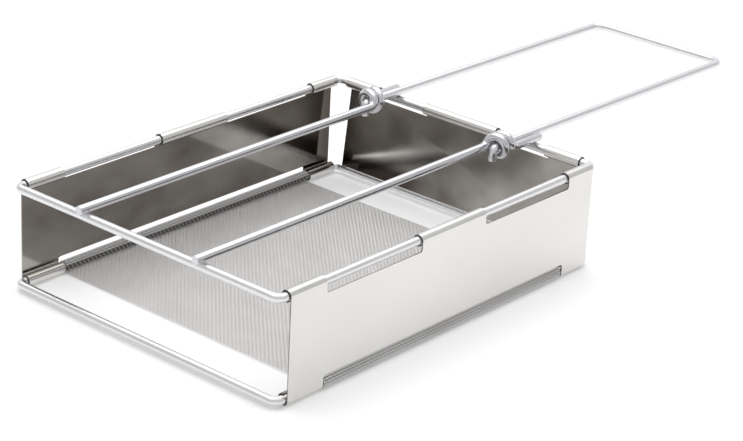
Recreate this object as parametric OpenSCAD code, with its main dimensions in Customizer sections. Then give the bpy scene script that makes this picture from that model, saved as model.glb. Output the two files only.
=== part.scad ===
// Folding camp toaster: two wire frames joined by two side panels that roll round
// their long wires, an end panel hung on the rear crossbar, a woven mesh floor,
// two bread rods wound into eyes, and a wire handle that slides in those eyes.
// X runs from the open front to the handle, Y across, Z up from the surface it stands on.

/* [Wire frames] */
// Length between the axes of the front and rear crossbars
box_l = 157.5; // [140:0.5:180]
// Width between the axes of the long wires
box_w = 117; // [100:1:135]
// Height between the axes of the lower and upper frames
box_h = 34.5; // [30:0.5:44]
// Diameter of the frame wire, the rods and the handle
wire_d = 3; // [2.6:0.1:3.4]
// Bend radius of the frame corners at the wire axis
corner_r = 2.6; // [2.4:0.1:6]

/* [Sheet panels] */
// Thickness of the sheet
sheet_t = 0.5; // [0.4:0.05:0.7]
// Running clearance between a rolled knuckle and its wire
knuckle_gap = 0.08; // [0.04:0.01:0.1]
// Sweep of a rolled knuckle in degrees
roll_sweep = 280; // [240:5:290]
// Length of a side panel's front knuckles
front_knuckle_l = 16; // [10:0.5:22]
// Length of each upper cut-out of a side panel
side_slot_l = 45; // [36:0.5:48]
// Length of a side panel's middle knuckle
middle_knuckle_l = 32; // [24:0.5:36]
// How far the side cut-outs reach past the wire axis
side_slot_depth = 3.2; // [2.4:0.1:6]
// Fillet at the bottom corners of every cut-out
slot_fillet = 0.9; // [0.4:0.1:1.4]
// Gap between a front corner's bend and a side panel's front edge
panel_front_gap = 0.7; // [0.1:0.1:1.5]
// Gap between a rear corner's bend and a side panel's rear edge
panel_end_gap = 0.1; // [0.1:0.1:1]

/* [End panel] */
// Distance from a long wire's axis to the end panel's side edge
end_side_gap = 5; // [4:0.5:12]
// Distance from an eye's axis in to the inner edge of a cut-out of the end panel
end_slot_inset = 12.8; // [8:0.1:14]
// Width of each of the end panel's two cut-outs
end_slot_w = 22; // [18:0.5:24]
// How far the end panel's cut-outs reach below the crossbar axis
end_slot_depth = 3.2; // [3:0.1:10]
// Gap between the lower crossbar and the end panel's lower edge as it swings past
end_low_gap = 0.3; // [0.2:0.1:4]
// Lean of the end panel in degrees, which puts its lower edge inside the lower crossbar
end_lean = 6.6; // [0:0.1:8]

/* [Mesh floor] */
// Thickness of the mesh, twice the wire it is woven from
mesh_t = 0.8; // [0.6:0.05:0.9]
// Gap between the mesh hem and the long wire inside it
hem_gap = 0.08; // [0.04:0.01:0.1]
// Sweep of the mesh hem round the long wire in degrees
hem_sweep = 250; // [200:5:280]
// Gap between the mesh edge and the side panels' lower knuckles
mesh_end_gap = 0.6; // [0.3:0.1:3]
// Count of gaps along the floor
mesh_gaps_long = 17; // [8:1:17]
// Count of gaps across the floor
mesh_gaps_wide = 17; // [8:1:17]
// Width of a strand of the net
strand_w = 0.9; // [0.6:0.1:1.5]
// Plain border of the net beside each hem
mesh_border = 3; // [2:0.5:6]

/* [Bread rods] */
// Spacing between the axes of the two rods
rod_spacing = 52; // [44:1:60]
// How far the rods stick out past the crossbar axes
rod_overhang = 3; // [1.6:0.1:5]
// How far the rods are welded into the crossbars
weld_sink = 0.15; // [0.05:0.05:0.3]
// Radius of a weld bead between a rod and a crossbar
weld_r = 1.2; // [0.9:0.1:1.4]
// Distance from the rear crossbar's axis back to the start of an eye
eye_setback = 20.5; // [18:0.5:30]
// Clearance between an eye and the handle arm inside it
eye_clear = 0.4; // [0.35:0.05:1.2]
// Gap between the turns of an eye
eye_turn_gap = 0.4; // [0.35:0.05:1.6]
// Bend radius of the wire where it enters and leaves an eye
eye_bend_r = 2.8; // [2.6:0.1:4]

/* [Handle] */
// Reach from the rear crossbar's axis to the axis of the handle's end bar
handle_reach = 123; // [90:1:135]
// Bend radius of the handle's corners at the wire axis
handle_bend_r = 4.5; // [3.2:0.1:10]
// Slope of the handle down from the eyes to its end bar, in degrees
handle_droop = 0.8; // [0:0.1:1.2]
// Gap between the handle arms and the rear crossbar they pass over
slide_gap = 0.2; // [0.15:0.05:0.5]
// Gap between an arm's stop and its eye when the handle is pulled out
stop_gap = 0.3; // [0.2:0.05:1]
// Bend radius of an arm's stop
stop_bend_r = 2.4; // [2:0.1:3]
// Depth of an arm's stop below the arm's axis
stop_drop = 5; // [4.5:0.1:6]

/* [Hidden] */

$fn = 64;
// How far a cutter runs past what it cuts
overrun = 1;
// Step of the eyes' place and of the arms' length, so that joined round faces meet
place_step = 0.01;
// Turns of an eye, from the inner side round to the outer side
eye_turns = 1.5;
// Rings of one turn, rings of one bend and sides of the wound wire
rings_per_turn = 24;
rings_per_bend = 6;
wound_sides = 16;

wire_r = wire_d / 2;
// Inner and outer radius of a rolled knuckle and of the mesh hem
knuckle_in = wire_r + knuckle_gap;
knuckle_out = knuckle_in + sheet_t;
hem_in = wire_r + hem_gap;
hem_out = hem_in + mesh_t;

// Heights of the frame axes, with the lowest roll at zero
low_z = max(knuckle_out, hem_out);
top_z = low_z + box_h;
side_y = box_w / 2;

// Places along the length, with the middle of the whole length at zero
total_l = rod_overhang + box_l + handle_reach + wire_r;
front_x = rod_overhang - total_l / 2;
rear_x = front_x + box_l;
panel_x0 = front_x + corner_r + panel_front_gap;
panel_x1 = rear_x - corner_r - panel_end_gap;
slot1_x0 = panel_x0 + front_knuckle_l;
slot1_x1 = slot1_x0 + side_slot_l;
slot2_x0 = slot1_x1 + middle_knuckle_l;
slot2_x1 = slot2_x0 + side_slot_l;

// The handle arms: their axis where they pass over the rear crossbar and at the eyes
arm_z = top_z + wire_d + slide_gap;
eye_z = arm_z + 3 / 4 * eye_setback * tan(handle_droop);

// The eyes: an axis beside each rod, and the path of the wound wire unrolled from it
rod_y = rod_spacing / 2;
rod_z = top_z + wire_d - weld_sink;
weld_z = top_z + wire_r - weld_sink / 2;
eye_r = wire_d + eye_clear;
eye_start = asin((eye_z - rod_z) / eye_r);
eye_y = round((rod_y + eye_r * cos(eye_start)) / place_step) * place_step;
tail_y = eye_y + eye_r * cos(eye_start);
eye_x0 = rear_x - eye_setback;
eye_pitch = wire_d + eye_turn_gap;
eye_round = 2 * PI * eye_r;
eye_slope = atan(eye_pitch / eye_round);
eye_run = (eye_turns + eye_start / 180) * eye_round;
bend_run = eye_bend_r * (1 - sin(eye_slope));
bend_len = eye_bend_r * cos(eye_slope);
eye_x1 = eye_x0 + 2 * bend_len + (eye_run - 2 * bend_run) * tan(eye_slope);

// The handle: its end bar, and the reach from there back to the arms' stops
grip_x = rear_x + handle_reach;
grip_z = arm_z - handle_reach * tan(handle_droop);
eye_low_run = (3 / 4 + eye_start / 360) * eye_round;
eye_low_x = eye_x0 + bend_len + (eye_low_run - bend_run) * tan(eye_slope);
arm_l = ceil((grip_x - eye_low_x + wire_d + stop_gap) / place_step) * place_step;

// Mesh floor
mesh_x0 = slot1_x0 + mesh_end_gap;
mesh_x1 = slot2_x1 - mesh_end_gap;

// Solid round bar along X
module bar_x(x0, x1) {
    translate([x0, 0, 0])
        rotate([0, 90, 0])
            cylinder(h = x1 - x0, r = wire_r);
}

// Solid round bar along Y
module bar_y(y0, y1) {
    translate([0, y0, 0])
        rotate([-90, 0, 0])
            cylinder(h = y1 - y0, r = wire_r);
}

// Quarter bend of the wire, from +X round to +Y of its own centre
module bend(radius) {
    rotate_extrude(angle = 90)
        translate([radius, 0])
            circle(r = wire_r);
}

// Closed rectangular wire frame with rounded corners
module wire_frame(z) {
    straight_x0 = front_x + corner_r;
    straight_x1 = rear_x - corner_r;
    straight_y = side_y - corner_r;
    translate([0, 0, z]) {
        for (side = [-1, 1])
            translate([0, side * side_y, 0])
                bar_x(straight_x0, straight_x1);
        for (x = [front_x, rear_x])
            translate([x, 0, 0])
                bar_y(-straight_y, straight_y);
        translate([straight_x1, straight_y, 0])
            bend(corner_r);
        translate([straight_x0, straight_y, 0])
            rotate([0, 0, 90])
                bend(corner_r);
        translate([straight_x0, -straight_y, 0])
            rotate([0, 0, 180])
                bend(corner_r);
        translate([straight_x1, -straight_y, 0])
            rotate([0, 0, 270])
                bend(corner_r);
    }
}

// Open roll of sheet round an axis along X. Angle 0 points down and 90 points to +Y
module roll_x(x0, x1, inner, outer, start, sweep) {
    translate([x0, 0, 0])
        rotate([0, 90, 0])
            rotate_extrude(angle = sweep, start = start)
                translate([inner, 0])
                    square([outer - inner, x1 - x0]);
}

// Flat shape of a cut-out: it is open at y = overrun and filleted at its bottom corners
module cut_out(x0, x1, depth) {
    translate([x0, slot_fillet - depth])
        square([x1 - x0, depth - slot_fillet + overrun]);
    translate([x0 + slot_fillet, -depth])
        square([x1 - x0 - 2 * slot_fillet, depth]);
    for (x = [x0 + slot_fillet, x1 - slot_fillet])
        translate([x, slot_fillet - depth])
            circle(r = slot_fillet);
}

// Side panel on the +Y side: a flat sheet outside the wires, rolled inward over both
module side_panel() {
    translate([0, side_y + knuckle_out, 0])
        rotate([90, 0, 0])
            linear_extrude(sheet_t)
                difference() {
                    translate([panel_x0, low_z])
                        square([panel_x1 - panel_x0, box_h]);
                    translate([0, top_z]) {
                        cut_out(slot1_x0, slot1_x1, side_slot_depth);
                        cut_out(slot2_x0, slot2_x1, side_slot_depth);
                    }
                    translate([0, low_z])
                        mirror([0, 1])
                            cut_out(slot1_x0, slot2_x1, side_slot_depth);
                }
    upper = [[panel_x0, slot1_x0], [slot1_x1, slot2_x0], [slot2_x1, panel_x1]];
    lower = [[panel_x0, slot1_x0], [slot2_x1, panel_x1]];
    translate([0, side_y, top_z])
        for (span = upper)
            roll_x(span[0], span[1], knuckle_in, knuckle_out, 90, roll_sweep);
    translate([0, side_y, low_z])
        mirror([0, 0, 1])
            for (span = lower)
                roll_x(span[0], span[1], knuckle_in, knuckle_out, 90, roll_sweep);
}

// Woven floor, drawn as a flat net hemmed round both lower long wires
module net_floor() {
    net_w = box_w - 2 * mesh_border;
    pitch_x = (mesh_x1 - mesh_x0 - strand_w) / mesh_gaps_long;
    pitch_y = (net_w - strand_w) / mesh_gaps_wide;
    translate([0, 0, low_z - hem_out])
        linear_extrude(mesh_t)
            difference() {
                translate([mesh_x0, -side_y])
                    square([mesh_x1 - mesh_x0, box_w]);
                for (i = [0 : mesh_gaps_long - 1], j = [0 : mesh_gaps_wide - 1])
                    translate([mesh_x0 + strand_w + i * pitch_x, strand_w - net_w / 2 + j * pitch_y])
                        square([pitch_x - strand_w, pitch_y - strand_w]);
            }
    for (side = [0, 1])
        mirror([0, side, 0])
            translate([0, side_y, low_z])
                roll_x(mesh_x0, mesh_x1, hem_in, hem_out, 0, hem_sweep);
}

// Place along an eye's unrolled path: [distance along X, distance round the eye's axis]
function enter_bend(turn) = [eye_x0 + eye_bend_r * sin(turn), eye_bend_r * (1 - cos(turn))];
function leave_bend(turn) = [eye_x1 - eye_bend_r * sin(turn), eye_run - eye_bend_r * (1 - cos(turn))];
function winding(share) =
    let (run = bend_run + share * (eye_run - 2 * bend_run))
    [eye_x0 + bend_len + (run - bend_run) * tan(eye_slope), run];

full_turn = 90 - eye_slope;
winding_steps = ceil(rings_per_turn * eye_turns);
unrolled_path = concat(
    [[front_x - rod_overhang, 0]],
    [for (i = [0 : rings_per_bend]) enter_bend(full_turn * i / rings_per_bend)],
    [for (i = [1 : winding_steps - 1]) winding(i / winding_steps)],
    [for (i = [rings_per_bend : -1 : 0]) leave_bend(full_turn * i / rings_per_bend)],
    [[rear_x + rod_overhang, eye_run]]);

// The same path rolled round the eye's axis. It starts on the inner side and goes over first
function rolled(p) =
    let (turn = 360 * p[1] / eye_round - eye_start)
    [p[0], -eye_r * cos(turn), eye_r * sin(turn)];
rod_path = [for (p = unrolled_path) rolled(p)];
path_last = len(rod_path) - 1;

function unit(v) = v / norm(v);
function path_heading(i) = unit(rod_path[min(i + 1, path_last)] - rod_path[max(i - 1, 0)]);
function path_outward(i) = unit([0, rod_path[i][1], rod_path[i][2]]);
function path_ring(i) =
    let (across = unit(cross(path_heading(i), path_outward(i))))
    let (out = cross(across, path_heading(i)))
    [for (k = [0 : wound_sides - 1])
        let (turn = 360 * (k + 1 / 2) / wound_sides)
        rod_path[i] + wire_r * (cos(turn) * out + sin(turn) * across)];

// Least gap between turns, taken between points that lie over half a turn apart
turn_gaps = [
    for (i = [0 : path_last], j = [0 : path_last])
        if (unrolled_path[j][1] - unrolled_path[i][1] > eye_round / 2)
            norm(rod_path[i] - rod_path[j]) - wire_d];
echo("least gap of an eye's wire to itself", min(turn_gaps));

// Bread rod on the +Y side: one unbroken wire, straight, then wound into an eye, then welded down
module rod() {
    points = [for (i = [0 : path_last]) each path_ring(i)];
    walls = [for (i = [0 : path_last - 1], k = [0 : wound_sides - 1])
        let (a = i * wound_sides + k)
        let (b = i * wound_sides + (k + 1) % wound_sides)
        each [[a, b, a + wound_sides], [b, b + wound_sides, a + wound_sides]]];
    last_ring = path_last * wound_sides;
    start_cap = [for (k = [1 : wound_sides - 2]) [0, k + 1, k]];
    end_cap = [for (k = [1 : wound_sides - 2]) [last_ring, last_ring + k, last_ring + k + 1]];
    translate([0, eye_y, eye_z])
        polyhedron(points = points, faces = concat(walls, start_cap, end_cap));
}

// Bead of weld metal where a rod lies on a crossbar
module weld_bead(x, y) {
    color([0.60, 0.58, 0.55])
        translate([x, y, weld_z])
            sphere(r = weld_r);
}

module bottom_frame() {
    color([0.78, 0.78, 0.79])
        wire_frame(low_z);
}

module floor_mesh() {
    color([0.62, 0.62, 0.63])
        net_floor();
}

module near_side_panel() {
    color([0.82, 0.81, 0.80])
        mirror([0, 1, 0])
            side_panel();
}

module far_side_panel() {
    color([0.70, 0.69, 0.67])
        side_panel();
}

module top_frame() {
    color([0.80, 0.80, 0.81])
        wire_frame(top_z);
}

module near_rod() {
    color([0.84, 0.84, 0.86])
        mirror([0, 1, 0])
            rod();
}

module far_rod() {
    color([0.84, 0.84, 0.86])
        rod();
}

module near_front_weld() {
    weld_bead(front_x, -rod_y);
}

module near_rear_weld() {
    weld_bead(rear_x, -tail_y);
}

module far_front_weld() {
    weld_bead(front_x, rod_y);
}

module far_rear_weld() {
    weld_bead(rear_x, tail_y);
}

// End panel: hangs on the upper rear crossbar, cut out round the eyes, and leans in to rest
// inside the lower one
module end_panel() {
    end_y = side_y - end_side_gap;
    slot_y0 = eye_y - end_slot_inset;
    slot_y1 = slot_y0 + end_slot_w;
    drop = top_z - low_z - wire_r - end_low_gap;
    color([0.66, 0.65, 0.63])
        translate([rear_x, 0, top_z])
            rotate([0, end_lean, 0]) {
                translate([knuckle_in, 0, 0])
                    rotate([90, 0, 90])
                        linear_extrude(sheet_t)
                            difference() {
                                translate([-end_y, -drop])
                                    square([2 * end_y, drop]);
                                for (side = [0, 1])
                                    mirror([side, 0])
                                        cut_out(slot_y0, slot_y1, end_slot_depth);
                            }
                rotate([0, 0, -90])
                    for (span = [[-end_y, -slot_y1], [-slot_y0, slot_y0], [slot_y1, end_y]])
                        roll_x(span[0], span[1], knuckle_in, knuckle_out, 90, roll_sweep);
            }
}

// Handle: a U of wire whose arms slide through the eyes and end in stops bent down before them.
// It is drawn back from its end bar and then tipped down round it
module handle() {
    bend_y = eye_y - handle_bend_r;
    color([0.83, 0.83, 0.85])
        translate([grip_x, 0, grip_z])
            rotate([0, handle_droop, 0]) {
                for (side = [-1, 1])
                    translate([0, side * eye_y, 0]) {
                        bar_x(stop_bend_r - arm_l, -handle_bend_r);
                        translate([stop_bend_r - arm_l, 0, -stop_bend_r])
                            rotate([90, 0, 0])
                                rotate([0, 0, 90])
                                    bend(stop_bend_r);
                        translate([-arm_l, 0, -stop_drop])
                            cylinder(h = stop_drop - stop_bend_r, r = wire_r);
                    }
                translate([-handle_bend_r, bend_y, 0])
                    bend(handle_bend_r);
                translate([-handle_bend_r, -bend_y, 0])
                    rotate([0, 0, 270])
                        bend(handle_bend_r);
                bar_y(-bend_y, bend_y);
            }
}

bottom_frame();
floor_mesh();
near_side_panel();
far_side_panel();
top_frame();
near_rod();
near_front_weld();
near_rear_weld();
far_rod();
far_front_weld();
far_rear_weld();
end_panel();
handle();
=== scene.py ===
from math import asin, atan, ceil, cos, pi, radians, sin, tan

import bmesh
import bpy
from mathutils import Matrix, Vector, noise


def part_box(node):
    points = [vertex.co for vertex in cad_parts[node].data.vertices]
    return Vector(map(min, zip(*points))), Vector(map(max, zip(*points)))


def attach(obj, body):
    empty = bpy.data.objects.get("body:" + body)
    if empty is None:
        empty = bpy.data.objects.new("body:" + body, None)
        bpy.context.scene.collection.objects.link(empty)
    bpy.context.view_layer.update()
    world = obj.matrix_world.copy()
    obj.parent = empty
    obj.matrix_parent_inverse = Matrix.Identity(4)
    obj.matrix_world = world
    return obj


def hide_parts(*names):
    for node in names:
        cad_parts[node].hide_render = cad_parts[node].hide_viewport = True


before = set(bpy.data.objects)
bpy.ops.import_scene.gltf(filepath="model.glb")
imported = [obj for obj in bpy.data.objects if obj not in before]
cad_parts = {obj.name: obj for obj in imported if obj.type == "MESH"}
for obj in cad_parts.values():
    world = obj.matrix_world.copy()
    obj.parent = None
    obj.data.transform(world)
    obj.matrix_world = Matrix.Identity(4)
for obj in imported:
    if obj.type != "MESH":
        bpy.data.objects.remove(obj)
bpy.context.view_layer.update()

# The lower frame: one length of 3 mm bright drawn stainless wire, bent into a rectangle
# and butt welded into a closed loop. The side panels' lower knuckles turn on its long
# wires and the mesh floor is hemmed round them. It is the body that stands on the table.

mm = 0.001
frame_low, frame_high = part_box("bottom_frame")
wire_r = (frame_high.z - frame_low.z) / 2
low_z = frame_low.z + wire_r
front_x = frame_low.x + wire_r
rear_x = frame_high.x - wire_r
side_y = frame_high.y - wire_r
corner_r = 2.6 * mm
corner_steps = 12
crease = radians(40)


class Tone:
    """A number that changes over a surface: a node's output with Python's arithmetic on it."""

    def __init__(self, tree, socket):
        self.tree = tree
        self.socket = socket

    def _math(self, operation, first, second):
        """One Math node on two tones or numbers."""
        node = self.tree.nodes.new("ShaderNodeMath")
        node.operation = operation
        for k, value in enumerate((first, second)):
            if isinstance(value, Tone):
                self.tree.links.new(value.socket, node.inputs[k])
            else:
                node.inputs[k].default_value = value
        return Tone(self.tree, node.outputs[0])

    def __add__(self, other):
        return self._math("ADD", self, other)

    def __radd__(self, other):
        return self._math("ADD", other, self)

    def __sub__(self, other):
        return self._math("SUBTRACT", self, other)

    def __rsub__(self, other):
        return self._math("SUBTRACT", other, self)

    def __mul__(self, other):
        return self._math("MULTIPLY", self, other)

    def __rmul__(self, other):
        return self._math("MULTIPLY", other, self)


class Finish:
    """The nodes of one finish, or of the room's light, and the shader that they feed."""

    def __init__(self, owner, shader="Principled BSDF"):
        owner.use_nodes = True
        self.owner = owner
        self.tree = owner.node_tree
        self.shader = self.tree.nodes[shader]

    def node(self, kind, settings, inputs, output=0):
        """Any node: its settings are set first, then the values or links of its sockets."""
        made = self.tree.nodes.new(kind)
        for name, value in settings.items():
            setattr(made, name, value)
        for name, value in inputs.items():
            self.feed(made.inputs[name], value)
        return Tone(self.tree, made.outputs[output])

    def feed(self, socket, value):
        """Link a socket to a tone, or give it a number or colour."""
        if isinstance(value, Tone):
            self.tree.links.new(value.socket, socket)
        else:
            socket.default_value = value

    def grain(self, where, stretch, scale, detail=3.0, rough=0.55):
        """Noise from 0 to 1 in a space that is stretched by three factors."""
        stretched = self.node("ShaderNodeMapping", {}, {"Vector": where, "Scale": stretch})
        return self.node("ShaderNodeTexNoise", {}, {
            "Vector": stretched, "Scale": scale, "Detail": detail, "Roughness": rough})

    def place(self):
        """Where a point lies on the object, in metres."""
        return self.node("ShaderNodeTexCoord", {}, {}, output="Object")

    def along(self, where, axis):
        """One coordinate of a place."""
        return self.node("ShaderNodeSeparateXYZ", {}, {"Vector": where}, output=axis)

    def ray(self, kind):
        """1 for light rays of one kind, otherwise 0."""
        return self.node("ShaderNodeLightPath", {}, {}, output=kind)

    def fade(self, value, start, end, top=1.0):
        """A smooth rise from 0 to the top as a value goes from start to end."""
        return self.node("ShaderNodeMapRange", {"interpolation_type": "SMOOTHSTEP"}, {
            "Value": value, "From Min": start, "From Max": end, "To Min": 0.0, "To Max": top})

    def between(self, share, low, high):
        """A colour between two colours."""
        return self.node("ShaderNodeMix", {"data_type": "RGBA"}, {
            0: share, 6: (*low, 1), 7: (*high, 1)}, output=2)

    def surface(self, **sockets):
        """Feed the shader's sockets, whose names are given with _ for a space."""
        for name, value in sockets.items():
            self.feed(self.shader.inputs[name.replace("_", " ")], value)

    def relief(self, height, depth, strength):
        """Fine unevenness, as a bump of a given depth."""
        bump = self.node("ShaderNodeBump", {}, {
            "Height": height, "Distance": depth, "Strength": strength})
        self.surface(Normal=bump)


def drawn_wire(name, light, dark, shine):
    """Bright wire as it leaves the die: fine lines along it, faint stains and soft patches."""
    steel = Finish(bpy.data.materials.new(name))
    along = steel.node("ShaderNodeUVMap", {"uv_map": "wire"}, {})
    place = steel.place()
    die_lines = steel.grain(along, (70, 25, 1), 1.0)
    patches = steel.grain(place, (1, 1, 1), 110.0, 4.0)
    pits = steel.grain(place, (1, 1, 1), 2600.0, 2.0)
    steel.surface(
        Metallic=1.0,
        Base_Color=steel.between(patches * 0.6 + die_lines * 0.4, dark, light),
        Roughness=shine + patches * 0.08 + die_lines * 0.06)
    steel.relief(die_lines * 0.7 + pits * 0.3, 0.006 * mm, 0.5)
    return steel.owner


def wire_mesh(path, up, closed=False, sides=28, radius=wire_r, chamfer=0.25 * mm):
    """A wire: a ring of points carried along the path by extruding, turned with each bend."""
    mesh = bmesh.new()

    def ring_edges(loop):
        return [mesh.edges.get((loop[k - 1], loop[k])) for k in range(sides)]

    last = len(path) - 1
    length = [0.0]
    normal = up
    frames = []
    for i, point in enumerate(path):
        before = path[i - 1] if closed or i > 0 else point
        after = path[(i + 1) % len(path)] if closed or i < last else point
        forward = (after - before).normalized()
        normal = (normal - forward * normal.dot(forward)).normalized()
        turned = Matrix((normal, forward.cross(normal), forward)).transposed().to_4x4()
        frames.append(Matrix.Translation(point) @ turned)
        if i > 0:
            length.append(length[-1] + (point - path[i - 1]).length)
    ring = bmesh.ops.create_circle(mesh, segments=sides, radius=radius, matrix=frames[0])["verts"]
    where = {vert: (k, 0.0) for k, vert in enumerate(ring)}
    first_ring = ring
    for i in range(1, len(path)):
        made = bmesh.ops.extrude_edge_only(mesh, edges=ring_edges(ring))["geom"]
        fresh = {item for item in made if isinstance(item, bmesh.types.BMVert)}
        ring = [next(e.other_vert(v) for e in v.link_edges if e.other_vert(v) in fresh)
                for v in ring]
        bmesh.ops.transform(mesh, matrix=frames[i] @ frames[i - 1].inverted(), verts=ring)
        where.update({vert: (k, length[i]) for k, vert in enumerate(ring)})
    ends = [ring_edges(first_ring), ring_edges(ring)]
    if closed:
        bmesh.ops.bridge_loops(mesh, edges=ends[0] + ends[1])
    unrolled = mesh.loops.layers.uv.new("wire")
    whole = length[-1] + (path[0] - path[-1]).length
    for face in mesh.faces:
        turns = [where[loop.vert][0] for loop in face.loops]
        runs = [where[loop.vert][1] for loop in face.loops]
        for loop, turn, run in zip(face.loops, turns, runs):
            turn += sides if max(turns) - turn > sides / 2 else 0
            run += whole if closed and max(runs) - run > whole / 2 else 0
            loop[unrolled].uv = (turn / sides, run)
    if not closed:
        for loop in ends:
            bmesh.ops.contextual_create(mesh, geom=loop)
        bmesh.ops.bevel(mesh, geom=ends[0] + ends[1], offset=chamfer, offset_type="OFFSET",
                        segments=2, profile=0.5, affect="EDGES", material=-1)
    return mesh


def settled(mesh, name):
    """The finished mesh, ready to be shown or laid many times."""
    data = bpy.data.meshes.new(name)
    mesh.to_mesh(data)
    mesh.free()
    return data


def in_scene(name, data):
    """An object in the scene that shows a mesh, a lamp or the camera."""
    thing = bpy.data.objects.new(name, data)
    bpy.context.scene.collection.objects.link(thing)
    return thing


def finish_piece(mesh, name, materials, body, node):
    """Make the mesh an object that rides on its body and stands for its CAD node."""
    bmesh.ops.recalc_face_normals(mesh, faces=mesh.faces)
    for face in mesh.faces:
        face.smooth = True
    data = settled(mesh, name)
    data.set_sharp_from_angle(angle=crease)
    for material in materials:
        data.materials.append(material)
    piece = in_scene(name, data)
    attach(piece, body)
    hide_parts(node)


def frame_loop(z):
    """The frame's centre line: a rectangle with a quarter turn at each corner."""
    corners = [(rear_x, side_y, 0), (front_x, side_y, 90),
               (front_x, -side_y, 180), (rear_x, -side_y, 270)]
    path = []
    for x, y, start in corners:
        centre = Vector((x - corner_r if x == rear_x else x + corner_r,
                         y - corner_r if y == side_y else y + corner_r, z))
        for step in range(corner_steps + 1):
            turn = radians(start + 90 * step / corner_steps)
            path.append(centre + corner_r * Vector((cos(turn), sin(turn), 0)))
    return path


frame_steel = drawn_wire("frame_steel", (0.79, 0.79, 0.80), (0.69, 0.69, 0.70), 0.20)
bottom_frame = wire_mesh(frame_loop(low_z), Vector((0, 0, 1)), closed=True)
finish_piece(bottom_frame, "bottom_wire_frame", [frame_steel],
             "bottom", "bottom_frame")

# The floor: plain-woven stainless mesh, wires of 0.31 mm less than a millimetre apart. Its
# two long edges are rolled round the lower frame's long wires, so the wires' crests show as
# ridges on the hems. It spreads the stove's flame under the bread.

mesh_low, mesh_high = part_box("floor_mesh")
strand_r = 0.155 * mm
crimp = 0.155 * mm
weave_z = 0.4 * mm
pitch_y = 0.9 * mm
hem_r = low_z - weave_z
hem_sweep = radians(250)
first_x = mesh_low.x + strand_r
last_x = mesh_high.x - strand_r
gaps_x = round((last_x - first_x) / pitch_y / 2) * 2
pitch_x = (last_x - first_x) / gaps_x
cloth_reach = int((side_y + hem_r * hem_sweep) / pitch_y)
rib_slant = 0.8
inner_turn_r = wire_r + 0.06 * mm
inner_turn_t = 0.02 * mm
inner_turn_sides = 40
both_sides = (("near", -1), ("far", 1))


def woven_place(x, run, lift):
    """A point of the cloth: x along the box, run across it from the middle, and lift off its
    middle plane."""
    side = 1 if run >= 0 else -1
    over = abs(run) - side_y
    if over <= 0:
        return Vector((x, run, weave_z + lift))
    turn = over / hem_r
    reach = hem_r - lift
    return Vector((x, side * (side_y + reach * sin(turn)), low_z - reach * cos(turn)))


def strand(path, up):
    """One crimped wire of the cloth, ready to be laid many times."""
    return settled(wire_mesh(path, up, sides=6, radius=strand_r, chamfer=0.04 * mm), "strand")


def lay(cloth, wire, place):
    """Lay a copy of a finished wire at its place in the cloth."""
    first = len(cloth.verts)
    cloth.from_mesh(wire)
    cloth.verts.ensure_lookup_table()
    bmesh.ops.transform(cloth, matrix=place, verts=cloth.verts[first:])


def mesh_steel():
    """The cloth's drawn wire: soft patches and fine specks."""
    steel = Finish(bpy.data.materials.new("mesh_steel"))
    place = steel.place()
    patches = steel.grain(place, (1, 1, 1), 60.0, 4.0)
    specks = steel.grain(place, (1, 1, 1), 900.0, 2.0)
    steel.surface(
        Metallic=1.0,
        Base_Color=steel.between(patches * 0.7 + specks * 0.3,
                                 (0.68, 0.67, 0.665), (0.84, 0.83, 0.825)),
        Roughness=0.46 + specks * 0.16)
    steel.relief(specks, 0.01 * mm, 0.4)
    return steel.owner


def inner_turn_shade_finish():
    """The hem's inner turn, seen as pale and dark ribs behind the outer one; much darker than the
    cloth, as painted shade of the hollow inside the hem.
    """
    steel = Finish(bpy.data.materials.new("painted_shade_inner_turn_steel"))
    place = steel.place()
    stains = steel.grain(place, (1, 1, 1), 400.0, 3.0)
    slanted = steel.along(place, "X") + steel.along(place, "Z") * rib_slant
    swing = steel.node("ShaderNodeMath", {"operation": "SINE"}, {0: slanted * (pi / pitch_y)})
    ribs = swing * 0.5 + 0.5
    steel.surface(
        Metallic=1.0,
        Base_Color=steel.between(stains * 0.3 + ribs * 0.7,
                                 (0.03, 0.028, 0.026), (0.42, 0.41, 0.40)),
        Roughness=0.5 + stains * 0.2)
    steel.relief(ribs, 0.1 * mm, 0.6)
    return steel.owner


woven_steel = mesh_steel()
cross_strands = []
long_strands = []
for phase in (1, -1):
    across = [woven_place(0, k * pitch_y, phase * crimp * (-1) ** k)
              for k in range(-cloth_reach, cloth_reach + 1)]
    cross_strands.append(strand(across, Vector((1, 0, 0))))
    along = [Vector((first_x + k * pitch_x, 0, weave_z - phase * crimp * (-1) ** k))
             for k in range(gaps_x + 1)]
    long_strands.append(strand(along, Vector((0, 0, 1))))
painted_shade_inner_turn_steel = inner_turn_shade_finish()
# Each hem gets a thin sleeve for its inner turn, a real layer of the cloth; its near-black finish
# is painted shade of the hollow inside the hem.
for name, side in both_sides:
    turn = bmesh.new()
    bmesh.ops.create_cone(turn, cap_ends=False, segments=inner_turn_sides, radius1=inner_turn_r,
                          radius2=inner_turn_r, depth=mesh_high.x - mesh_low.x)
    hem_middle = Matrix.Translation(((mesh_high.x + mesh_low.x) / 2, side * side_y, low_z))
    laid = hem_middle @ Matrix.Rotation(radians(90), 4, "Y")
    bmesh.ops.transform(turn, matrix=laid, verts=turn.verts)
    bmesh.ops.solidify(turn, geom=turn.faces, thickness=-inner_turn_t)
    bmesh.ops.recalc_face_normals(turn, faces=turn.faces)
    finish_piece(turn, "floor_hem_inner_turn_" + name, [painted_shade_inner_turn_steel],
                 "bottom", "floor_mesh")
halves = (("front", range(0, gaps_x // 2)), ("rear", range(gaps_x // 2, gaps_x + 1)))
for name, places in halves:
    cloth = bmesh.new()
    for k in places:
        lay(cloth, cross_strands[k % 2], Matrix.Translation((first_x + k * pitch_x, 0, 0)))
    finish_piece(cloth, "floor_cross_wires_" + name, [woven_steel],
                 "bottom", "floor_mesh")
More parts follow.
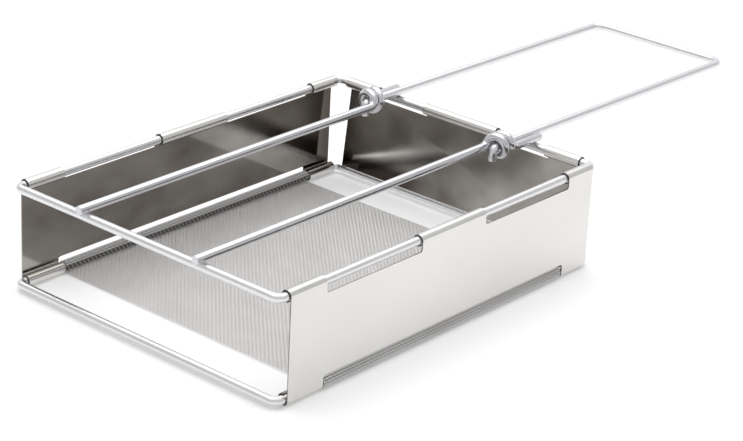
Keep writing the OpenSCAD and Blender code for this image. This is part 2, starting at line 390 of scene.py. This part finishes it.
for name, side in both_sides:
    cloth = bmesh.new()
    hinge = Matrix.Translation((0, side * side_y, low_z))
    for k in range(0 if side > 0 else 1, cloth_reach + 1):
        over = max(0.0, k * pitch_y - side_y)
        flat = Matrix.Translation((0, side * min(k * pitch_y, side_y), 0))
        rolled = hinge @ Matrix.Rotation(side * over / hem_r, 4, "X") @ hinge.inverted()
        lay(cloth, long_strands[k % 2], rolled @ flat)
    finish_piece(cloth, "floor_long_wires_" + name, [woven_steel],
                 "bottom", "floor_mesh")

# The side panels: half-millimetre bright stainless sheet. Tongues left between the
# cut-outs are rolled inward round the frames' long wires, so the sheet's own edges are
# the hinge knuckles, three above and two below.

panel_low, panel_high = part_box("far_side_panel")
top_low, top_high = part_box("top_frame")
top_z = (top_low.z + top_high.z) / 2
sheet_t = 0.5 * mm
knuckle_out = panel_high.y - side_y
roll_sweep = radians(280)
roll_steps = 40
front_knuckle_l = 16 * mm
side_slot_l = 45 * mm
middle_knuckle_l = 32 * mm
side_slot_depth = 3.2 * mm
slot_fillet = 0.9 * mm
side_shade_l = 22 * mm
shade_most = 0.9
shade_brown = (0.05, 0.036, 0.03, 1)
fillet_steps = 6
edge_break = 0.06 * mm
sharp_turn = radians(60)
at_edge = slot_fillet / 100
same_place = sheet_t / 100
facing_along = 0.7
cloud_least = 0.36
cloud_contrast = 3.4


def slot_edge(start, end, depth, up):
    """A cut-out's outline from start to end, open at height 0 and filleted at its bottom."""
    points = [(start, 0.0)]
    ahead = 1 if end > start else -1
    for corner, begin in ((start, 180), (end, 270)):
        inward = ahead if corner == start else -ahead
        for step in range(fillet_steps + 1):
            turn = radians(begin + 90 * step / fillet_steps)
            across = corner + inward * slot_fillet + ahead * slot_fillet * cos(turn)
            points.append((across, depth - slot_fillet - slot_fillet * sin(turn)))
    points.append((end, 0.0))
    return [(x, up * -height) for x, height in points]


def tongues(low, slots, high):
    """The stretches that the cut-outs leave of an edge."""
    places = [low, *(place for slot in slots for place in slot), high]
    return list(zip(places[::2], places[1::2]))


def rolled_sheet(upper, lower, upper_slots, lower_slots, low_edge, high_edge, slot_depth):
    """A flat sheet with cut-outs, its tongues rolled round wires along X. The hinge wires' axes
    lie at y = 0, the sheet stands beyond them, and its height runs from low_edge to high_edge."""
    x0, x1 = upper[0][0], upper[-1][1]
    outline = [(x0, low_edge)]
    for start, end in lower_slots:
        outline += [(x, low_edge + z) for x, z in slot_edge(start, end, slot_depth, -1)]
    outline.append((x1, low_edge))
    outline.append((x1, high_edge))
    for start, end in reversed(upper_slots):
        outline += [(x, high_edge + z) for x, z in slot_edge(end, start, slot_depth, 1)]
    outline.append((x0, high_edge))
    mesh = bmesh.new()
    inner = knuckle_out - sheet_t
    face = mesh.faces.new([mesh.verts.new((x, inner, z)) for x, z in outline])
    made = bmesh.ops.extrude_face_region(mesh, geom=[face])["geom"]
    fresh = [item for item in made if isinstance(item, bmesh.types.BMVert)]
    bmesh.ops.translate(mesh, vec=(0, sheet_t, 0), verts=fresh)
    for spans, z, sweep in ((upper, high_edge, roll_sweep), (lower, low_edge, -roll_sweep)):
        for start, end in spans:
            rim = [f for f in mesh.faces if abs(f.calc_center_median().z - z) < at_edge
                   and start < f.calc_center_median().x < end]
            bmesh.ops.spin(mesh, geom=rim, cent=(0, 0, z), axis=(1, 0, 0), dvec=(0, 0, 0),
                           angle=sweep, steps=roll_steps, space=Matrix.Identity(4),
                           use_duplicate=False)
            bmesh.ops.delete(mesh, geom=rim, context="FACES_ONLY")
    bmesh.ops.remove_doubles(mesh, verts=mesh.verts, dist=same_place)
    bmesh.ops.recalc_face_normals(mesh, faces=mesh.faces)
    # Each face gets a finish: 0 the outer face, 1 the inner face, 2 a rim that faces along X near
    # an edge; finishes 1 and 2 are given painted shade.
    for face in mesh.faces:
        middle = face.calc_center_median()
        over = max(middle.z - high_edge, low_edge - middle.z, 0)
        depth = middle.y if over == 0 and middle.y > 0 else (middle.y ** 2 + over ** 2) ** 0.5
        edge_gap = min(abs(middle.z - high_edge), abs(middle.z - low_edge))
        rim = abs(face.normal.x) > facing_along and edge_gap < slot_depth
        face.material_index = 2 if rim else 1 if depth < inner + sheet_t / 2 else 0
    sharp = [e for e in mesh.edges if len(e.link_faces) == 2 and e.calc_face_angle(0) > sharp_turn]
    bmesh.ops.bevel(mesh, geom=sharp, offset=edge_break, offset_type="OFFSET", segments=1,
                    profile=0.5, affect="EDGES", material=-1)
    return mesh


def no_painted_reflection_or_haze(steel, place):
    """Neither a darker nor a rougher place."""
    return 0.0, 0.0


def rolled_steel(name, light, dark, shine, painted_reflection_and_haze=no_painted_reflection_or_haze):
    """Bright rolled sheet: lines along the rolling direction, soft clouding and fine scratches.
    Its darker places are painted reflection and its rougher places a haze, both set to stand for
    the photo's reflections."""
    steel = Finish(bpy.data.materials.new(name))
    place = steel.place()
    lines = steel.grain(place, (0.012, 1, 1), 3200.0, 3.0)
    clouds = (steel.grain(place, (0.6, 1, 1), 30.0, 3.0) - cloud_least) * cloud_contrast
    scratches = steel.grain(place, (1, 0.03, 0.05), 1500.0, 2.0)
    shade, haze = painted_reflection_and_haze(steel, place)
    clean = steel.between(clouds * 0.75 + lines * 0.25, dark, light)
    steel.surface(
        Metallic=1.0,
        Base_Color=steel.node("ShaderNodeMix", {"data_type": "RGBA"}, {
            0: shade, 6: clean, 7: shade_brown}, output=2),
        Roughness=shine + clouds * 0.05 + lines * 0.05 + scratches * 0.03 + haze)
    steel.relief(lines * 0.7 + scratches * 0.3, 0.003 * mm, 0.35)
    return steel.owner


def side_painted_reflection(steel, place):
    """A darker rear end, standing for the dark room that the photo's panel mirrors there."""
    shade = steel.fade(steel.along(place, "X"), panel_high.x - side_shade_l, panel_high.x)
    return shade * shade_most, 0.0


first_slot = panel_low.x + front_knuckle_l
second_slot = first_slot + side_slot_l + middle_knuckle_l
upper_slots = [(start, start + side_slot_l) for start in (first_slot, second_slot)]
lower_slots = [(first_slot, second_slot + side_slot_l)]
outer_steel = rolled_steel("outer_steel", (0.735, 0.725, 0.71), (0.695, 0.685, 0.67), 0.14)
# The inner face: the same sheet made much darker, as painted shade and painted reflection of the
# box's dark inside.
painted_shade_inner_steel = rolled_steel("painted_shade_inner_steel", (0.40, 0.38, 0.355), (0.15, 0.135, 0.12), 0.02,
                           side_painted_reflection)
# The rims that face along the box, at the knuckles' ends and the cut-outs' sides, are made near
# black: painted shade for the shadowed mouths of the knuckles.
rim_shade_steel = rolled_steel("rim_shade_steel", (0.16, 0.155, 0.15), (0.06, 0.057, 0.054), 0.35)
for name, side in both_sides:
    body = name + "_side"
    panel = rolled_sheet(tongues(panel_low.x, upper_slots, panel_high.x),
                         tongues(panel_low.x, lower_slots, panel_high.x),
                         upper_slots, lower_slots, low_z, top_z, side_slot_depth)
    bmesh.ops.translate(panel, vec=(0, side_y, 0), verts=panel.verts)
    bmesh.ops.scale(panel, vec=(1, side, 1), verts=panel.verts)
    finish_piece(panel, body + "_sheet", [outer_steel, painted_shade_inner_steel, rim_shade_steel],
                 body, body + "_panel")

# The upper frame: the same bent wire loop as the lower one. It turns in the side
# panels' upper knuckles, and the bread rods are welded across it.

top_frame = wire_mesh(frame_loop(top_z), Vector((0, 0, 1)), closed=True)
finish_piece(top_frame, "top_wire_frame", [frame_steel], "top", "top_frame")

# The bread rods: each is one unbroken 3 mm wire that lies on both upper crossbars. Near
# the rear it bends into an eye of one and a half turns round the handle's arm, goes over
# the arm first, and ends in a short straight tail on the other side.

rod_low, rod_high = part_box("far_rod")
rod_y = 26 * mm
eye_r = 3.4 * mm
eye_pitch = 3.4 * mm
eye_turns = 1.5
eye_bend_r = 2.8 * mm
eye_setback = 20.5 * mm
weld_sink = 0.15 * mm
slide_gap = 0.2 * mm
droop = radians(0.8)
place_step = 0.01 * mm
turn_rings = 48
bend_rings = 10
rod_z = top_z + 2 * wire_r - weld_sink
arm_z = top_z + 2 * wire_r + slide_gap
eye_z = arm_z + 3 / 4 * eye_setback * tan(droop)
eye_start = asin((eye_z - rod_z) / eye_r)
eye_y = round((rod_y + eye_r * cos(eye_start)) / place_step) * place_step
tail_y = eye_y + eye_r * cos(eye_start)
eye_x0 = rear_x - eye_setback
eye_slope = atan(eye_pitch / (2 * pi * eye_r))
eye_run = (eye_turns * 2 * pi + 2 * eye_start) * eye_r
bend_run = eye_bend_r * (1 - sin(eye_slope))
bend_len = eye_bend_r * cos(eye_slope)
eye_x1 = eye_x0 + 2 * bend_len + (eye_run - 2 * bend_run) * tan(eye_slope)


def rod_path(side):
    """The rod's centre line, worked out unrolled from the eye's axis and rolled back round it."""
    bend = [radians(90 * k / bend_rings) * (1 - eye_slope / radians(90))
            for k in range(bend_rings + 1)]
    flat = [(rod_low.x, 0.0)]
    flat += [(eye_x0 + eye_bend_r * sin(turn), eye_bend_r * (1 - cos(turn))) for turn in bend]
    steps = ceil(turn_rings * eye_turns)
    for k in range(1, steps):
        run = bend_run + (eye_run - 2 * bend_run) * k / steps
        flat.append((eye_x0 + bend_len + (run - bend_run) * tan(eye_slope), run))
    flat += [(eye_x1 - eye_bend_r * sin(turn), eye_run - eye_bend_r * (1 - cos(turn)))
             for turn in reversed(bend)]
    flat.append((rod_high.x, eye_run))
    path = []
    for x, run in flat:
        turn = run / eye_r - eye_start
        path.append(Vector((x, side * (eye_y - eye_r * cos(turn)), eye_z + eye_r * sin(turn))))
    return path


rod_steel = drawn_wire("rod_steel", (0.70, 0.70, 0.725), (0.55, 0.55, 0.575), 0.13)
for name, side in both_sides:
    rod = wire_mesh(rod_path(side), Vector((0, 0, 1)))
    finish_piece(rod, name + "_rod_wire", [rod_steel], "top", name + "_rod")

# The welds: a small bead of fused wire in the corner where each rod lies on a crossbar,
# tinted straw and blue by the heat.

weld_r = 1.2 * mm
weld_wobble = 0.12 * mm
weld_z = top_z + wire_r - weld_sink / 2


def weld_finish():
    """Fused steel with its heat colours and a fine scale."""
    metal = Finish(bpy.data.materials.new("weld_metal"))
    place = metal.place()
    tint = metal.grain(place, (1, 1, 1), 420.0, 3.0)
    scale = metal.grain(place, (1, 1, 1), 2400.0, 3.0)
    metal.surface(
        Metallic=1.0,
        Base_Color=metal.between(tint, (0.42, 0.36, 0.30), (0.66, 0.66, 0.68)),
        Roughness=0.28 + scale * 0.25)
    metal.relief(scale, 0.05 * mm, 0.6)
    return metal.owner


weld_metal = weld_finish()
for name, x, y in (("near_front_weld", front_x, -rod_y), ("far_front_weld", front_x, rod_y),
                   ("near_rear_weld", rear_x, -tail_y), ("far_rear_weld", rear_x, tail_y)):
    bead = bmesh.new()
    bmesh.ops.create_icosphere(bead, subdivisions=4, radius=weld_r)
    for vert in bead.verts:
        lumps = noise.noise(vert.co / weld_r * 2 + Vector((x, y, 0)) / mm)
        vert.co -= vert.normal * weld_wobble * (0.5 + 0.5 * lumps)
    bmesh.ops.translate(bead, vec=(x, y, weld_z), verts=bead.verts)
    finish_piece(bead, name + "_bead", [weld_metal], "top", name)

# The end panel: the same sheet as the sides. Three tongues are rolled round the upper
# rear crossbar, and the cut-outs between them leave room for the rods' tails and the
# handle's arms. It leans in, its lower edge inside the lower crossbar, and braces the box.

end_low, end_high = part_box("end_panel")
end_slot_inset = 12.8 * mm
end_slot_y = eye_y - end_slot_inset
end_slot_w = 22 * mm
end_slot_depth = 3.2 * mm
end_slots = [(-end_slot_y - end_slot_w, -end_slot_y), (end_slot_y, end_slot_y + end_slot_w)]
end_low_gap = 0.3 * mm
end_lean = radians(6.6)
foot_shade_y = (2 * mm, 26 * mm)
foot_shade_z = (13 * mm, 8 * mm)
haze_z = (14 * mm, 30 * mm)
haze_most = 0.22
end_drop = top_z - low_z - wire_r - end_low_gap
end_sheet = rolled_sheet(tongues(end_low.y, end_slots, end_high.y), [], end_slots, [],
                         -end_drop, 0, end_slot_depth)


def end_painted_reflection_and_haze(steel, place):
    """A darker far foot and a rougher top, standing for what the photo's panel mirrors there."""
    across = steel.along(place, "Y")
    up = steel.along(place, "Z")
    haze_grain = steel.grain(place, (1, 1, 0.5), 60.0, 2.0)
    shade = steel.fade(across, *foot_shade_y) * steel.fade(up, *foot_shade_z)
    return shade * shade_most, steel.fade(up, *haze_z) * haze_grain * haze_most


# The end panel's inner face: the same sheet made much darker, as painted shade and painted
# reflection of the box's dark inside.
painted_shade_end_steel = rolled_steel("painted_shade_end_steel", (0.56, 0.54, 0.51), (0.18, 0.165, 0.15), 0.02, end_painted_reflection_and_haze)
turned_across = Matrix.Rotation(radians(-90), 4, "Z")
hung = Matrix.Translation((rear_x, 0, top_z)) @ Matrix.Rotation(end_lean, 4, "Y") @ turned_across
bmesh.ops.transform(end_sheet, matrix=hung, verts=end_sheet.verts)
finish_piece(end_sheet, "end_sheet_panel", [outer_steel, painted_shade_end_steel, rim_shade_steel],
             "end", "end_panel")

# The handle: a long U of the same wire, tipped down a little to its end bar. Its arms slide
# in the rods' eyes, and their ends are bent down as stops, so it can't be pulled out.

handle_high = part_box("handle")[1]
grip_x = handle_high.x - wire_r
grip_z = arm_z - (grip_x - rear_x) * tan(droop)
stop_gap = 0.3 * mm
stop_drop = 5 * mm
handle_bend_r = 4.5 * mm
stop_bend_r = 2.4 * mm
eye_low_run = (3 / 2 * pi + eye_start) * eye_r
eye_low_x = eye_x0 + bend_len + (eye_low_run - bend_run) * tan(eye_slope)
arm_l = ceil((grip_x - eye_low_x + 2 * wire_r + stop_gap) / place_step) * place_step
quarter = [radians(90 * k / corner_steps) for k in range(corner_steps + 1)]
half_handle = [Vector((-arm_l, eye_y, -stop_drop))]
half_handle += [Vector((stop_bend_r * (1 - cos(t)) - arm_l, eye_y, -stop_bend_r * (1 - sin(t))))
                for t in quarter]
half_handle += [Vector((-handle_bend_r * (1 - sin(t)), eye_y - handle_bend_r * (1 - cos(t)), 0))
                for t in quarter]
handle_path = half_handle + [Vector((p.x, -p.y, p.z)) for p in reversed(half_handle)]
handle = wire_mesh(handle_path, Vector((0, 1, 0)))
tipped = Matrix.Translation((grip_x, 0, grip_z)) @ Matrix.Rotation(droop, 4, "Y")
bmesh.ops.transform(handle, matrix=tipped, verts=handle.verts)
handle_steel = drawn_wire("handle_steel", (0.79, 0.79, 0.81), (0.68, 0.68, 0.70), 0.20)
finish_piece(handle, "handle_wire", [handle_steel], "handle", "handle")

# The studio: a white table under a large soft light, seen from the open front and the
# near side, a little above the box.

camera_at = Vector((-614.2, -490.5, 338.34)) * mm
camera_azimuth = radians(39.965)
camera_drop = radians(23.16)
camera_roll = radians(3.05)
lens = 115.57
forward = Vector((cos(camera_azimuth) * cos(camera_drop), sin(camera_azimuth) * cos(camera_drop),
                  -sin(camera_drop)))
right = forward.cross(Vector((0, 0, 1))).normalized()
above = right.cross(forward)
rolled_right = right * cos(camera_roll) + above * sin(camera_roll)
rolled_above = above * cos(camera_roll) - right * sin(camera_roll)
camera_data = bpy.data.cameras.new("camera")
camera_data.lens = lens
camera_data.sensor_width = 36
camera_data.clip_start = 0.01
camera = in_scene("camera", camera_data)
turned = Matrix((rolled_right, rolled_above, -forward)).transposed().to_4x4()
camera.matrix_world = Matrix.Translation(camera_at) @ turned
bpy.context.scene.camera = camera

lamp_at = Vector((0.06, 0.14, 0.80))
lamp_aim = Vector((-0.05, 0, 0))
softbox = bpy.data.lights.new("overhead_light", "AREA")
softbox.shape = "RECTANGLE"
softbox.size, softbox.size_y = 1.2, 1.0
softbox.energy = 5.0
lamp = in_scene("overhead_light", softbox)
look = (lamp_aim - lamp_at).to_track_quat("-Z", "Y")
lamp.matrix_world = Matrix.Translation(lamp_at) @ look.to_matrix().to_4x4()

table_reach = 6
camera_glow = 0.18
metal_glow = 0.20
table = bmesh.new()
bmesh.ops.create_grid(table, x_segments=1, y_segments=1, size=table_reach)
table_data = settled(table, "table")
paper = Finish(bpy.data.materials.new("white_table"))
seen_straight = paper.ray("Is Camera Ray")
seen_in_metal = paper.ray("Is Glossy Ray")
paper.surface(Base_Color=(0.85, 0.85, 0.85, 1), Roughness=0.9, Emission_Color=(1, 1, 1, 1),
              Emission_Strength=seen_straight * camera_glow + seen_in_metal * metal_glow)
table_data.materials.append(paper.owner)
table_top = in_scene("table", table_data)

# The room around it: plain light for the object and white for the camera. The metal mirrors
# it as light grey, and paler behind the box and overhead.

room_light = 0.7
mirrored_least = 0.68
backdrop_most = 0.32
ceiling_most = 0.22
white = 1.0
room = Finish(bpy.data.worlds.new("studio"), "Background")
bpy.context.scene.world = room.owner
direction = room.node("ShaderNodeTexCoord", {}, {}, output="Generated")
toward_back = room.node("ShaderNodeVectorMath", {"operation": "DOT_PRODUCT"}, {
    0: direction, 1: (cos(camera_azimuth), sin(camera_azimuth), 0)}, output="Value")
upward = room.node("ShaderNodeVectorMath", {"operation": "DOT_PRODUCT"}, {
    0: direction, 1: (0, 0, 1)}, output="Value")
backdrop = room.fade(toward_back, 0.25, 0.85, top=backdrop_most)
ceiling = room.fade(upward, 0.45, 0.9, top=ceiling_most)
mirrored = room.ray("Is Glossy Ray")
seen = room.ray("Is Camera Ray")
glow = backdrop + ceiling * (1 - backdrop) + mirrored_least
room.surface(Color=(1, 1, 1, 1),
             Strength=room_light + mirrored * (glow - room_light) + seen * (white - room_light))

bpy.context.scene.view_settings.view_transform = "Standard"
